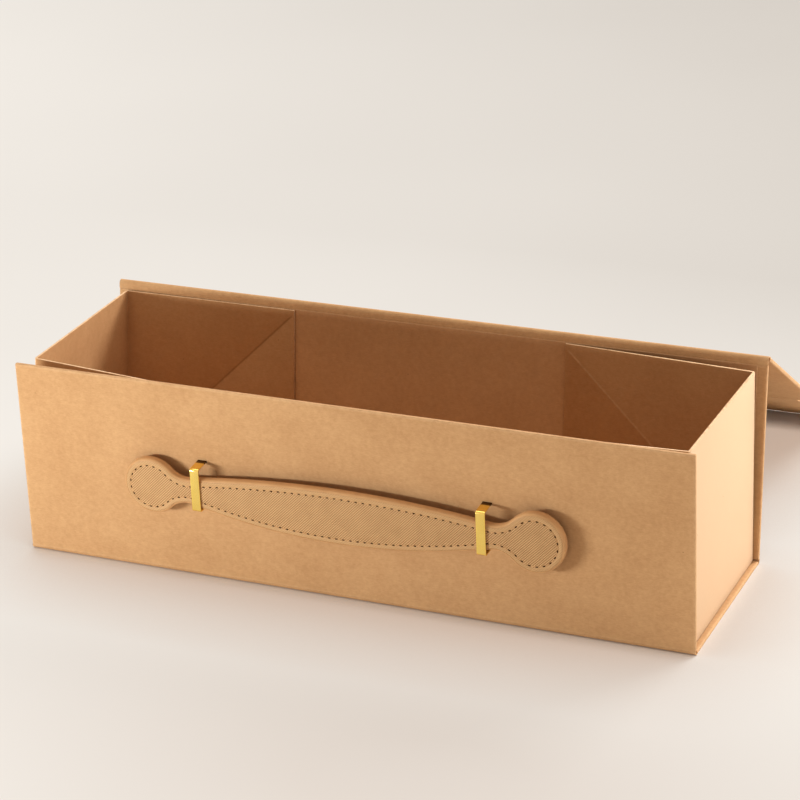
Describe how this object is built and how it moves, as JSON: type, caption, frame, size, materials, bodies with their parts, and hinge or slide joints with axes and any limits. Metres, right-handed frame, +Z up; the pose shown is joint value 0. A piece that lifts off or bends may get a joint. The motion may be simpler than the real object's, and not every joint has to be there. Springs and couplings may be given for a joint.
{
  "type": "wine gift box",
  "caption": "Collapsible kraft gift box for one bottle, open, with a folded-back lid and tuck flap, gusseted end walls and a stitched strap handle in gold loops.",
  "frame": {"origin": "middle of the base's underside, on the table", "axes": "+X along the case to the right of the handle side, +Y from the handle side to the lid side, +Z up"},
  "size_m": [0.35, 0.318, 0.1076],
  "materials": {
    "kraft_board": "matt kraft paper over grey board",
    "lining_paper": "matt kraft lining paper",
    "gusset_board": "matt creased kraft card",
    "hinge_paper": "matt folded kraft paper",
    "strap_leather": "cross-hatched imitation leather",
    "strap_core": "smooth painted edge",
    "gold_metal": "polished gold plate",
    "magnet_steel": "nickel plate"
  },
  "bodies": {
    "case": {"front_panel": "kraft_board", "base_panel": "kraft_board", "back_panel": "kraft_board", "front_hinge": "hinge_paper", "rear_hinge": "hinge_paper", "front_liner": "lining_paper", "base_liner": "lining_paper", "back_liner": "lining_paper", "left_gusset": "gusset_board", "right_gusset": "gusset_board", "left_loop": "gold_metal", "right_loop": "gold_metal", "left_panel_magnet": "magnet_steel", "right_panel_magnet": "magnet_steel"},
    "lid": {"lid_panel": "kraft_board", "lid_liner": "lining_paper", "lid_hinge": "hinge_paper"},
    "flap": {"closing_flap": "kraft_board", "flap_liner": "lining_paper", "flap_hinge": "hinge_paper", "left_flap_magnet": "magnet_steel", "right_flap_magnet": "magnet_steel"},
    "strap": {"strap_face": "strap_leather", "strap_core": "strap_core", "strap_backing": "strap_leather"}
  },
  "joints": [
    {"name": "lid_hinge_turn", "type": "hinge", "parent": "case", "child": "lid", "pos_m": [0, 0.06221, 0.10557], "axis": [1, 0, 0], "range_deg": [0, 210], "deforming": ["lid_hinge"]},
    {"name": "flap_hinge_turn", "type": "hinge", "parent": "lid", "child": "flap", "pos_m": [0, 0.15785, 0.0458], "axis": [1, 0, 0], "range_deg": [0, 88], "deforming": ["flap_hinge"]},
    {"name": "strap_slide", "type": "slide", "parent": "case", "child": "strap", "axis": [1, 0, 0], "range_m": [-0.003, 0.003]}
  ]
}
